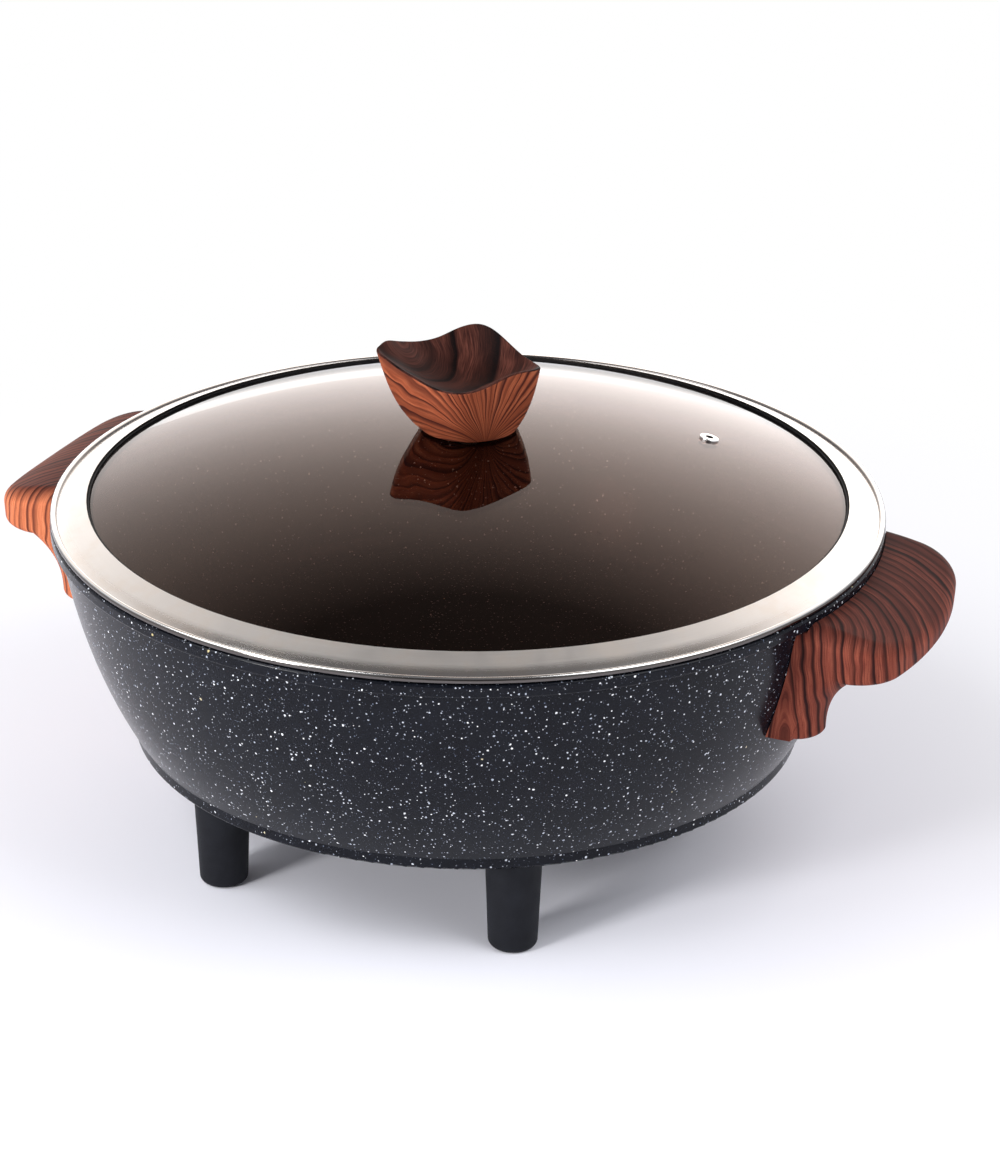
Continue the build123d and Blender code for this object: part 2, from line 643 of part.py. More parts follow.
def inlet_shroud():
    """Heat-proof hood round the pins, open at the back, with two screwed ears."""
    height = SHROUD_TOP_Z - SHROUD_BOTTOM_Z
    middle = Pos(0, SHROUD_BOTTOM_Z + height / 2)
    outer = middle * Rectangle(SHROUD_WIDTH, height)
    outer = fillet(outer.vertices().sort_by(Axis.Y)[:2], SHROUD_CORNER_R)
    inner = middle * Rectangle(SHROUD_WIDTH - 2 * SHROUD_WALL, height - 2 * SHROUD_WALL)
    inner = fillet(inner.vertices().sort_by(Axis.Y)[:2], SHROUD_CORNER_R - SHROUD_WALL)
    start = Plane(origin=(0, PLATE_FRONT_Y, 0), x_dir=(-1, 0, 0), z_dir=(0, 1, 0))
    hood = extrude(start * (outer - inner), SHROUD_LENGTH)
    for place in inlet_screw_places():
        ear = place * Pos(0, 0, SHROUD_TOP_Z)
        ear *= Box(EAR_LENGTH + SHROUD_WALL, EAR_DEPTH, SHROUD_WALL, align=DOWN)
        hood += fillet_outer_corners(ear, EAR_CORNER_R)
    for place in inlet_screw_places():
        hood -= place * disc(SCREW_R + SNUG, SHROUD_TOP_Z - SHROUD_WALL, SHROUD_TOP_Z)
    return hood


def fillet_outer_corners(ear, radius):
    """Round the one free upright edge at the back of an ear."""
    upright = ear.edges().filter_by(Axis.Z).sort_by(Axis.Y)[-2:]
    free = max(upright, key=lambda edge: abs(edge.center().X))
    return fillet(free, radius)


def inlet_screws():
    """Two screws through the shroud's ears and the plate's flange into the base."""
    one = Pos(0, 0, SHROUD_TOP_Z - SHROUD_WALL)
    one *= screw(SCREW_R, SCREW_HEAD_R, SCREW_HEAD_HEIGHT, INLET_SCREW_LENGTH)
    return Compound([place * one for place in inlet_screw_places()])


def probe_sleeve():
    """Blind tube that takes a plug-in controller's temperature probe."""
    sleeve = rod(PROBE_R, PROBE_START_Y, PROBE_END_Y)
    return sleeve - rod(PROBE_BORE_R, PROBE_END_Y - PROBE_BORE_LENGTH, PROBE_END_Y)


def earth_tab():
    """Bent blade on the plate's inner face for the earth contact."""
    x = (TAB_X - TAB_WIDTH / 2, TAB_X + TAB_WIDTH / 2)
    foot = block(x, (PLATE_Y - TAB_THICK, PLATE_Y), (INLET_Z - TAB_FOOT / 2, INLET_Z + TAB_FOOT / 2))
    blade_z = INLET_Z + TAB_FOOT / 2
    blade_y = PLATE_Y - TAB_THICK - TAB_LENGTH
    blade = block(x, (blade_y, PLATE_Y - TAB_THICK), (blade_z - TAB_THICK, blade_z))
    hole = Pos(TAB_X, blade_y + TAB_WIDTH / 2, 0) * disc(TAB_HOLE_R, blade_z - TAB_THICK, blade_z)
    return foot + blade - hole


# ---- Lid ----


def dome(depth):
    """Ball whose top is the given depth below the glass's upper surface."""
    return Pos(0, 0, DOME_CENTRE_Z) * Sphere(DOME_R - depth)


def dome_height(radius, depth):
    """Height of the dome surface at a radius and a depth below the glass's upper surface."""
    return DOME_CENTRE_Z + sqrt((DOME_R - depth) ** 2 - radius**2)


def vent_place():
    """Place on the glass's upper surface at the vent, square to the dome."""
    spread = hypot(VENT_X, VENT_Y)
    top = Vector(VENT_X, VENT_Y, dome_height(spread, 0))
    outward = top - Vector(0, 0, DOME_CENTRE_Z)
    return Plane(origin=top, z_dir=outward.normalized()).location


def lid_glass():
    """Tempered glass dome with holes for the knob's screw and the vent."""
    blank = disc(GLASS_R, dome_height(GLASS_R, GLASS_THICK) - GLASS_THICK, DOME_Z + GLASS_THICK)
    glass = (blank & dome(0)) - dome(GLASS_THICK)
    edges = glass.edges().filter_by(GeomType.CIRCLE)
    glass = fillet(edges, GLASS_EDGE_R)
    glass -= disc(KNOB_HOLE_R, DOME_UNDER_Z - GLASS_THICK, DOME_Z + GLASS_THICK)
    return glass - vent_place() * Cylinder(VENT_BARREL_R + SNUG, 4 * GLASS_THICK)


def band_top(radius):
    """Height of the band's upper face at a radius."""
    return BAND_EDGE_Z - (radius - BAND_INNER_R) * tan(radians(BAND_SLOPE))


def lid_band():
    """Steel band: sloping top sheet, rolled hem, web on the rim and skirt inside the mouth."""
    sheet_end = BAND_R - HEM_R
    top = make_face(
        Polyline(
            (BAND_INNER_R, band_top(BAND_INNER_R)),
            (sheet_end, band_top(sheet_end)),
            (sheet_end, band_top(sheet_end) - SHEET_DROP),
            (BAND_INNER_R, band_top(BAND_INNER_R) - SHEET_DROP),
            close=True,
        )
    )
    hem = Pos(sheet_end, BAND_WEB_Z + HEM_R) * Circle(HEM_R)
    skirt_inner_r = BAND_SKIRT_R - BAND_SHEET
    web = section_box(skirt_inner_r, sheet_end, BAND_WEB_Z, BAND_WEB_Z + BAND_SHEET)
    skirt = section_box(
        skirt_inner_r, BAND_SKIRT_R, BAND_WEB_Z - BAND_SKIRT_DROP, BAND_WEB_Z + BAND_SHEET
    )
    return spin(top + hem + web + skirt)


def lid_seal():
    """Silicone channel over the glass's edge, its lip showing inside the band."""
    inner_r = BAND_INNER_R - SEAL_REVEAL
    bottom = dome_height(GLASS_R, GLASS_THICK) - SEAL_UNDER
    drop = SHEET_DROP + SNUG
    section = make_face(
        Polyline(
            (inner_r, band_top(inner_r) - drop),
            (SEAL_R, band_top(SEAL_R) - drop),
            (SEAL_R, bottom),
            (inner_r, bottom),
            close=True,
        )
    )
    channel = spin(section)
    channel -= disc(GLASS_R + SNUG, bottom - 1, BAND_EDGE_Z) & dome(-SNUG) - dome(GLASS_THICK + SNUG)
    return channel


def vent_eyelet():
    """Steel eyelet riveted through the glass, square to the dome."""
    under = GLASS_THICK + SNUG
    barrel = Pos(0, 0, -under) * Cylinder(VENT_BARREL_R, under + SNUG, align=UP)
    upper = Pos(0, 0, SNUG / 2) * Cylinder(VENT_FLANGE_R, VENT_FLANGE, align=UP)
    upper = fillet(upper.edges().sort_by(Axis.Z)[-1], VENT_EDGE_R)
    lower = Pos(0, 0, -under) * Cylinder(VENT_FLANGE_R, VENT_FLANGE, align=DOWN)
    return vent_place() * (barrel + upper + lower - Cylinder(VENT_HOLE_R, 4 * GLASS_THICK))


# ---- Knob ----


def knob_flare(height):
    """Share of the way out from base circle to full spread at a height above the base."""
    return (height / KNOB_LEVELS[-1]) ** KNOB_FLARE


def knob_rim_height(angle):
    """Height of the wavy rim above the knob's base: a tilt, three waves and two crests."""
    tilt = KNOB_TILT * cos(angle - radians(KNOB_TILT_ANGLE))
    wave = KNOB_WAVE * cos(3 * (angle - radians(KNOB_WAVE_ANGLE)))
    height = KNOB_RIM_HEIGHT + tilt + wave
    for crest_angle, rise, spread in KNOB_CRESTS:
        away = remainder(angle - radians(crest_angle), tau) / radians(spread)
        height += rise * exp(-(away**2))
    return height


def knob_section(height):
    """Closed plan outline of the knob's side at a height above its base."""
    points = []
    for x, y in KNOB_CORNERS:
        angle = atan2(y, x)
        share = knob_flare(height) / knob_flare(knob_rim_height(angle))
        radius = KNOB_BASE_R + (hypot(x, y) - KNOB_BASE_R) * share
        points.append((radius * cos(angle), radius * sin(angle), KNOB_Z + height))
    return make_face(Spline(*points, periodic=True))


def knob_dish_grid():
    """Points of the dished top, which rises from its floor with the square of the radius."""
    plan = Spline(*KNOB_CORNERS, periodic=True)
    rim = [plan @ (step / KNOB_RIM_STEPS) for step in range(KNOB_RIM_STEPS)]
    angles = [atan2(point.Y, point.X) for point in rim]
    radii = [hypot(point.X, point.Y) for point in rim]
    steps = range(-KNOB_DISH_STEPS, KNOB_DISH_STEPS + 1)
    places = [step * KNOB_DISH_REACH / KNOB_DISH_STEPS for step in steps]
    grid = []
    for x in places:
        row = []
        for y in places:
            angle = atan2(y, x)
            share = hypot(x, y) / interp(angle, angles, radii, period=tau)
            rise = (knob_rim_height(angle) - KNOB_DISH_FLOOR) * share**2
            row.append(Vector(x, y, KNOB_Z + KNOB_DISH_FLOOR + rise))
        grid.append(row)
    return grid


def knob_dish():
    """Space above the knob's dished top, which runs out past its wavy rim."""
    surface = Face.make_surface_from_array_of_points(knob_dish_grid())
    return extrude(surface, 2 * KNOB_DISH_REACH, dir=(0, 0, 1))


def knob():
    """Cup-shaped knob with a wavy rim, dished top and a socket for its insert."""
    body = loft([knob_section(height) for height in KNOB_LEVELS])
    body -= knob_dish()
    dish = max(body.faces(), key=lambda face: face.normal_at(face.center()).Z)
    body = fillet(dish.edges(), KNOB_LIP_R)
    return body - disc(INSERT_R + SNUG, KNOB_Z, KNOB_Z + INSERT_LENGTH)


def knob_insert():
    """Brass insert moulded into the knob."""
    return ring(KNOB_SCREW_R + SNUG, INSERT_R, KNOB_Z, KNOB_Z + INSERT_LENGTH)


def knob_gasket_upper():
    """Gasket between knob and glass, its underside fitted to the dome."""
    blank = ring(KNOB_HOLE_R, KNOB_BASE_R - GASKET_INSET, DOME_Z - GASKET_THICK, KNOB_Z)
    return blank - dome(0)


def knob_gasket_lower():
    """Gasket between glass and washer."""
    return ring(KNOB_HOLE_R, LOWER_GASKET_R, WASHER_TOP_Z, LOWER_GASKET_TOP_Z)


def knob_washer():
    """Steel washer under the lid."""
    return ring(KNOB_SCREW_R + SNUG, WASHER_R, KNOB_SCREW_Z, WASHER_TOP_Z)


def knob_screw():
    """Screw up through the lid into the knob's insert."""
    length = KNOB_Z + KNOB_SCREW_BITE - KNOB_SCREW_Z
    body = screw(KNOB_SCREW_R, KNOB_SCREW_HEAD_R, KNOB_SCREW_HEAD_HEIGHT, length)
    return Pos(0, 0, KNOB_SCREW_Z) * body


def main():
    """Write one STEP file per piece."""
    half_turn = Rot(0, 0, 180)
    right_handle = handle()
    right_screws = handle_screws()
    nodes = {
        "pot_body": pot_body(),
        "pot_floor": pot_floor(),
        "pot_skirt": pot_skirt(),
        "pot_lugs": pot_lugs(),
        "leg_seats": leg_seats(),
        "heater_seat": heater_seat(),
        "probe_boss": probe_boss(),
        "handle_right": right_handle,
        "handle_left": half_turn * right_handle,
        "handle_screws_right": right_screws,
        "handle_screws_left": half_turn * right_screws,
        "leg_screws": leg_screws(),
        "heating_element": heater_tube(TUBE_R),
        "pin_bushes": pin_bushes(),
        "inlet_pins": inlet_pins(),
        "inlet_plate": inlet_plate(),
        "inlet_shroud": inlet_shroud(),
        "inlet_screws": inlet_screws(),
        "probe_sleeve": probe_sleeve(),
        "earth_tab": earth_tab(),
        "lid_glass": lid_glass(),
        "lid_band": lid_band(),
        "lid_seal": lid_seal(),
        "vent_eyelet": vent_eyelet(),
        "knob": knob(),
        "knob_insert": knob_insert(),
        "knob_gasket_upper": knob_gasket_upper(),
        "knob_gasket_lower": knob_gasket_lower(),
        "knob_washer": knob_washer(),
        "knob_screw": knob_screw(),
    }
    for name, place in leg_places().items():
        nodes[f"leg_{name}"] = place * leg()
    os.makedirs("parts", exist_ok=True)
    for name, shape in nodes.items():
        export_step(shape, f"parts/{name}.step")


main()
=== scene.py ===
from math import cos, radians, sin

import bpy
from mathutils import Matrix, Vector

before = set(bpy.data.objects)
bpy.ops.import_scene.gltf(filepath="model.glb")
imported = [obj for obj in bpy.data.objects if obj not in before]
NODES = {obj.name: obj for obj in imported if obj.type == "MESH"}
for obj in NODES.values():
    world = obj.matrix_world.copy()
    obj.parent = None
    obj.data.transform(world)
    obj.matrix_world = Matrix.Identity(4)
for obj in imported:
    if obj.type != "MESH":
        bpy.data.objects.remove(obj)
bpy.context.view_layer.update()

# Lengths are metres in the CAD frame, colours are linear.

# The camera that the photograph's outlines were fitted with
CAMERA_PLACE = (0.45129, -1.05681, 0.61719)
CAMERA_TURN = radians(22.5)
CAMERA_PITCH = radians(24.4232)
CAMERA_ROLL = radians(0.6222)
CAMERA_LENS = 99.937  # mm

# ---------------------------------------------------------------- node helpers


class Graph:
    """A material's or world's node tree, with short calls to add nodes."""

    def __init__(self, owner):
        owner.use_nodes = True
        self.tree = owner.node_tree
        self.tree.nodes.clear()

    def add(self, kind, inputs=None, **settings):
        node = self.tree.nodes.new(kind)
        for name, value in settings.items():
            setattr(node, name, value)
        for key, value in (inputs or {}).items():
            socket = node.inputs[key]
            if isinstance(value, bpy.types.NodeSocket):
                self.tree.links.new(value, socket)
            else:
                socket.default_value = value
        return node

    def math(self, operation, a, b=0.0, c=0.0):
        return self.add("ShaderNodeMath", {0: a, 1: b, 2: c}, operation=operation).outputs[0]

    def vector(self, operation, a, b):
        return self.add("ShaderNodeVectorMath", {0: a, 1: b}, operation=operation).outputs[0]

    def length(self, a, b):
        squares = self.math("ADD", self.math("MULTIPLY", a, a), self.math("MULTIPLY", b, b))
        return self.math("SQRT", squares)

    def place(self):
        return self.add("ShaderNodeTexCoord").outputs["Object"]

    def level(self):
        """Upward part of the surface's normal."""
        return self.parts(self.add("ShaderNodeTexCoord").outputs["Normal"])[2]

    def parts(self, vector):
        return self.add("ShaderNodeSeparateXYZ", {0: vector}).outputs

    def join(self, x, y, z):
        return self.add("ShaderNodeCombineXYZ", {0: x, 1: y, 2: z}).outputs[0]

    def noise(self, vector, scale, detail=2.0, roughness=0.5, out="Fac"):
        inputs = {"Vector": vector, "Scale": scale, "Detail": detail, "Roughness": roughness}
        return self.add("ShaderNodeTexNoise", inputs).outputs[out]

    def ramp(self, value, *stops):
        """Colour ramp from (position, colour) stops."""
        node = self.add("ShaderNodeValToRGB", {"Fac": value})
        elements = node.color_ramp.elements
        while len(elements) < len(stops):
            elements.new(0.5)
        for element, (position, colour) in zip(elements, stops):
            element.position = position
            element.color = (*colour, 1.0)
        return node.outputs["Color"]

    def rescale(self, value, low, high, to_low=0.0, to_high=1.0, smooth=False):
        kind = "SMOOTHSTEP" if smooth else "LINEAR"
        inputs = {0: value, 1: low, 2: high, 3: to_low, 4: to_high}
        return self.add("ShaderNodeMapRange", inputs, interpolation_type=kind).outputs[0]

    def mix(self, share, a, b):
        node = self.add("ShaderNodeMix", data_type="RGBA")
        for index, value in ((0, share), (6, a), (7, b)):
            socket = node.inputs[index]
            if isinstance(value, bpy.types.NodeSocket):
                self.tree.links.new(value, socket)
            else:
                socket.default_value = (*value, 1.0) if isinstance(value, tuple) else value
        return node.outputs[2]

    def bump(self, height, distance, strength=1.0):
        inputs = {"Height": height, "Distance": distance, "Strength": strength}
        return self.add("ShaderNodeBump", inputs).outputs[0]

    def surface(self, **inputs):
        """Principled surface wired to the output; underscores stand for spaces."""
        named = {key.replace("_", " "): value for key, value in inputs.items()}
        shader = self.add("ShaderNodeBsdfPrincipled", named)
        self.add("ShaderNodeOutputMaterial", {"Surface": shader.outputs[0]})


def new_material(name):
    material = bpy.data.materials.new(name)
    return material, Graph(material)


def dress(material, *nodes):
    """Put one material on CAD nodes."""
    for name in nodes:
        mesh = NODES[name].data
        mesh.materials.clear()
        mesh.materials.append(material)


def view_parts(g, vector):
    """Parts of a place or direction: to the photograph's right, level away from its camera, and up."""
    x, y, z = g.parts(vector)
    c, s = cos(CAMERA_TURN), sin(CAMERA_TURN)
    side = g.math("ADD", g.math("MULTIPLY", x, c), g.math("MULTIPLY", y, s))
    ahead = g.math("ADD", g.math("MULTIPLY", x, -s), g.math("MULTIPLY", y, c))
    return side, ahead, z


# Heights of the fine relief on surfaces
GRAIN_RELIEF = 0.00002
METAL_RELIEF = 0.00001
BRUSH_RELIEF = 0.0000025

# ---------------------------------------------------------------- stone coating

COATING_DARK = (0.0026, 0.0030, 0.0052)
COATING_PALE = (0.0052, 0.0061, 0.0098)
COATING_GRAIN = (0.022, 0.025, 0.036)
COATING_ROUGHNESS = (0.19, 0.24)
COATING_GLOSS = 0.14
FLECK_EDGE = 0.00012  # width of a fleck's soft edge
FLECK_WOBBLE = (0.0007, 0.0007, 0.0010)  # how far noise pulls the flecks out of round
# Layers of flecks: pitch of the cells, smallest and largest radius, share of the cells that hold one,
# offset of the grid, strength, dimmest tone, palest tone
FLECKS = (
    (0.00095, 0.00010, 0.00024, 0.90, 0.11, 0.65, (0.05, 0.06, 0.09), (0.20, 0.22, 0.28)),
    (0.00145, 0.00014, 0.00034, 0.90, 0.37, 0.92, (0.14, 0.17, 0.24), (0.62, 0.65, 0.72)),
    (0.00240, 0.00024, 0.00050, 0.88, 0.73, 0.97, (0.45, 0.49, 0.57), (0.96, 0.97, 0.98)),
    (0.00900, 0.00030, 0.00055, 0.50, 1.29, 0.90, (0.55, 0.45, 0.22), (0.70, 0.62, 0.42)),
)


def fleck_mask(g, place, cell, smallest, largest, share, offset):
    """Round-ish flecks in some of the cells of a grid, and a random number for each cell."""
    moved = g.vector("ADD", place, (offset, offset * 1.7, offset * 0.6))
    cells = g.add("ShaderNodeTexVoronoi", {"Vector": moved, "Scale": 1.0 / cell})
    random = g.add("ShaderNodeSeparateColor", {0: cells.outputs["Color"]}).outputs
    radius = g.rescale(random[0], 0.0, 1.0, smallest / cell, largest / cell)
    inside = g.math("SUBTRACT", radius, cells.outputs["Distance"])
    soft = g.rescale(inside, 0.0, FLECK_EDGE / cell, smooth=True)
    there = g.math("LESS_THAN", random[1], share)
    return g.math("MULTIPLY", soft, there), random[2]


def stone_coating():
    """Dark stone-effect coating with pale, grey and bluish flecks."""
    material, g = new_material("stone_coating")
    place = g.place()
    wobble = g.vector("SUBTRACT", g.noise(place, 900.0, 2.0, 0.6, "Color"), (0.5, 0.5, 0.5))
    bent = g.vector("ADD", place, g.vector("MULTIPLY", wobble, FLECK_WOBBLE))
    cloud = g.noise(place, 55.0, 4.0, 0.6)
    colour = g.ramp(cloud, (0.30, COATING_DARK), (0.72, COATING_PALE))
    grain = g.noise(place, 1700.0, 2.0, 0.6)
    colour = g.mix(g.rescale(grain, 0.48, 0.78, 0.0, 0.3), colour, COATING_GRAIN)
    relief = grain
    for cell, smallest, largest, share, offset, strength, dim, pale in FLECKS:
        mask, pick = fleck_mask(g, bent, cell, smallest, largest, share, offset)
        shade = g.ramp(pick, (0.15, dim), (0.85, pale))
        colour = g.mix(g.math("MULTIPLY", mask, strength), colour, shade)
        relief = g.math("ADD", relief, mask)
    g.surface(
        Base_Color=colour,
        Roughness=g.rescale(grain, 0.3, 0.7, *COATING_ROUGHNESS),
        Specular_IOR_Level=COATING_GLOSS,
        Normal=g.bump(relief, GRAIN_RELIEF, 0.3),
    )
    return material


# ---------------------------------------------------------------- wood-look film

# Tones of a print: deep, middle, pale and the dark line at the end of each growth ring. Some sets also
# hold painted light or painted shade, noted at each.
ORANGE = ((0.110, 0.026, 0.018), (0.235, 0.058, 0.036), (0.370, 0.110, 0.066), (0.022, 0.008, 0.008))
# Tops of the handles: darker than their sides, partly the film's print and partly painted shade on the
# faces that look up.
CHESTNUT_WITH_PAINTED_SHADE = ((0.050, 0.013, 0.010), (0.105, 0.027, 0.019), (0.180, 0.052, 0.036), (0.012, 0.005, 0.005))
AMBER = ((0.230, 0.055, 0.026), (0.380, 0.098, 0.044), (0.520, 0.165, 0.078), (0.055, 0.014, 0.011))
# Knob's dish: darker than its sides, partly the film's print and partly painted shade on the dish that
# looks up.
UMBER_WITH_PAINTED_SHADE = ((0.018, 0.006, 0.005), (0.064, 0.020, 0.014), (0.135, 0.044, 0.031), (0.004, 0.002, 0.002))
# Left handle's sides: the same orange print as the right handle's, painted much lighter. This is
# painted light where the lamps on the left fall on it.
ORANGE_WITH_PAINTED_LIGHT = ((0.420, 0.110, 0.048), (0.620, 0.185, 0.082), (0.780, 0.275, 0.135), (0.130, 0.033, 0.021))

HANDLE_PITCH = 0.0042  # between growth rings
KNOB_SIDE_PITCH = 0.0021
KNOB_DISH_PITCH = 0.0110
# The tops' darker tones are partly painted shade. These values set where they take over.
HANDLE_TURN_OVER = (0.25, 1.0)  # upward part of the normal where the top's print begins and is full
KNOB_TURN_OVER = (0.05, 0.40)
FILM_ROUGHNESS = (0.50, 0.60)
FILM_GLOSS = 0.05

DRIFT = 0.0060  # how far slow noise carries the rings aside
RIPPLE = 0.0005  # how far quick noise does
FIBRE_WIDTH = 0.00045
BROAD_WIDTH = 2.4  # width of the broad dark bands, in pitches
RING_SPREAD = 1.6  # how unevenly the rings are spaced, in pitches


def wood_colour(g, place, value, pitch, tones):
    """Rosewood-look print with growth rings along the level lines of a value in metres."""
    deep, middle, pale, line = tones
    x, y, z = g.parts(place)
    drift = g.math("SUBTRACT", g.noise(place, 38.0, 2.0, 0.5), 0.5)
    value = g.math("MULTIPLY_ADD", drift, DRIFT, value)
    ripple = g.math("SUBTRACT", g.noise(place, 150.0, 1.0, 0.5), 0.5)
    value = g.math("MULTIPLY_ADD", ripple, RIPPLE, value)
    aside = g.math("ADD", y, z)

    def streaks(width, stretch, detail):
        """Noise drawn out along the rings."""
        at = g.join(g.math("MULTIPLY", value, 1.0 / width), g.math("MULTIPLY", x, stretch),
                    g.math("MULTIPLY", aside, stretch))
        return g.noise(at, 1.0, detail, 0.6)

    fibre = streaks(FIBRE_WIDTH, 90.0, 2.0)
    broad = streaks(pitch * BROAD_WIDTH, 7.0, 1.0)
    rings = g.math("MULTIPLY", value, 1.0 / pitch)
    unevenness = g.math("MULTIPLY", g.noise(g.join(rings, 0.0, 0.0), 0.7, 1.0), RING_SPREAD)
    rings = g.math("ADD", rings, unevenness)
    part = g.math("FRACT", rings)
    number = g.math("FLOOR", rings)
    pick = g.add("ShaderNodeTexWhiteNoise", {"W": number}, noise_dimensions="1D").outputs["Value"]
    colour = g.ramp(fibre, (0.28, deep), (0.52, middle), (0.78, pale))
    colour = g.mix(g.rescale(part, 0.25, 0.95, 0.0, 0.40, smooth=True), colour, deep)
    colour = g.mix(g.rescale(broad, 0.52, 0.64, 0.0, 0.65, smooth=True), colour, deep)
    late = g.rescale(part, 0.40, 0.84, smooth=True)
    fade = g.rescale(part, 0.88, 1.0, 1.0, 0.15, smooth=True)
    boldness = g.rescale(pick, 0.0, 0.7, 0.45, 1.0)
    strength = g.math("MULTIPLY", g.math("MULTIPLY", late, fade), boldness)
    return g.mix(strength, colour, line), fibre


def wood(name, side, top, turn_over):
    """Film with one print on the sides and a darker one on the faces that look up, partly the film's
    own print and partly painted shade.

    Each print is a field, a pitch and its tones. The side's gives way to the top's where the
    upward part of the normal lies between the two turn_over values.
    """
    material, g = new_material(name)
    place = g.place()
    colours = []
    for field, pitch, tones in (side, top):
        colour, fibre = wood_colour(g, place, field(g, place), pitch, tones)
        colours.append(colour)
    upward = g.rescale(g.level(), *turn_over)
    pores = g.noise(place, 2600.0, 1.0)
    pore_tone = side[2][3]
    colour = g.mix(upward, *colours)
    colour = g.mix(g.rescale(pores, 0.60, 0.74, 0.0, 0.30), colour, pore_tone)
    g.surface(
        Base_Color=colour,
        Roughness=g.rescale(fibre, 0.3, 0.7, *FILM_ROUGHNESS),
        Specular_IOR_Level=FILM_GLOSS,
        Normal=g.bump(g.math("ADD", fibre, pores), GRAIN_RELIEF, 0.4),
    )
    return material


def arcs(centre_x, centre_y, stretch_x, stretch_y, climb):
    """Field of arcs about an upright line, whose radius also grows with height by a share of it."""

    def field(g, place):
        x, y, z = g.parts(place)
        across = g.math("MULTIPLY", g.math("SUBTRACT", x, centre_x), stretch_x)
        along = g.math("MULTIPLY", g.math("SUBTRACT", y, centre_y), stretch_y)
        return g.math("MULTIPLY_ADD", z, climb, g.length(across, along))

    return field


FAN_SIDE = 0.0065  # place of the line that the knob's lines fan out from
FAN_RISE = 0.1385
FAN_REACH = 0.024  # distance from that line at which the pitch is true


def knob_fan(g, place):
    """Field of planes that fan out from a line low on the knob's front."""
    side, depth, z = view_parts(g, place)
    rise = g.math("ADD", g.math("MULTIPLY", z, cos(CAMERA_PITCH)),
                  g.math("MULTIPLY", depth, sin(CAMERA_PITCH)))
    turn = g.math("ARCTAN2", g.math("SUBTRACT", side, FAN_SIDE), g.math("SUBTRACT", rise, FAN_RISE))
    return g.math("MULTIPLY", turn, FAN_REACH)


RIGHT_ARCS = arcs(0.146, -0.052, 1.15, 1.0, 0.16)
LEFT_ARCS = arcs(-0.146, -0.056, 1.15, 1.0, 0.16)
DISH_ARCS = arcs(-0.027, -0.004, 1.0, 0.80, 0.0)

# ---------------------------------------------------------------- glass, metal and plastic

GLASS_TINTS = ((0.240, 0.163, 0.136), (0.265, 0.182, 0.153))
# A lamp's ray meets two faces and is tinted at each, so these are the square roots of the tints
LAMP_TINTS = ((0.490, 0.404, 0.369), (0.515, 0.427, 0.391))
GLASS_REFLECTION = (1.0, 0.74, 0.64, 1.0)


def smoked_glass():
    """Brown-grey tempered glass that lets the lamps' light through to what is under it."""
    material, g = new_material("smoked_glass")
    smear = g.noise(g.place(), 14.0, 3.0, 0.6)
    tint, lamp_tint = (g.ramp(smear, (0.3, dim), (0.7, pale))
                       for dim, pale in (GLASS_TINTS, LAMP_TINTS))
    inputs = {"Base Color": tint, "Roughness": 0.0, "IOR": 1.5, "Transmission Weight": 1.0,
              "Specular Tint": GLASS_REFLECTION}
    glass = g.add("ShaderNodeBsdfPrincipled", inputs)
    clear = g.add("ShaderNodeBsdfTransparent", {"Color": lamp_tint})
    lamp_ray = g.add("ShaderNodeLightPath").outputs["Is Shadow Ray"]
    mix = g.add("ShaderNodeMixShader", {0: lamp_ray, 1: glass.outputs[0], 2: clear.outputs[0]})
    g.add("ShaderNodeOutputMaterial", {"Surface": mix.outputs[0]})
    return material


BAND_TONE = (0.95, 0.925, 0.895)
BAND_STAIN = tuple(c * k for c, k in zip(BAND_TONE, (0.90, 0.82, 0.74)))
# Colour of the rolled edge: a painted reflection of the black rim below the band.
BAND_EDGE_PAINTED_REFLECTION = (0.08, 0.07, 0.067)
BAND_ROUGHNESS = (0.33, 0.41)
CROWN_START = 0.1515  # radius where the band's top begins to roll over
CROWN_END = 0.1570  # radius from which it is polished
CROWN_FALL = 18.0  # how fast it rolls over, 1/m
CROWN_POLISH = 0.4  # share of the roughness that is left there
BRUSHING = 9000.0  # brush lines per metre


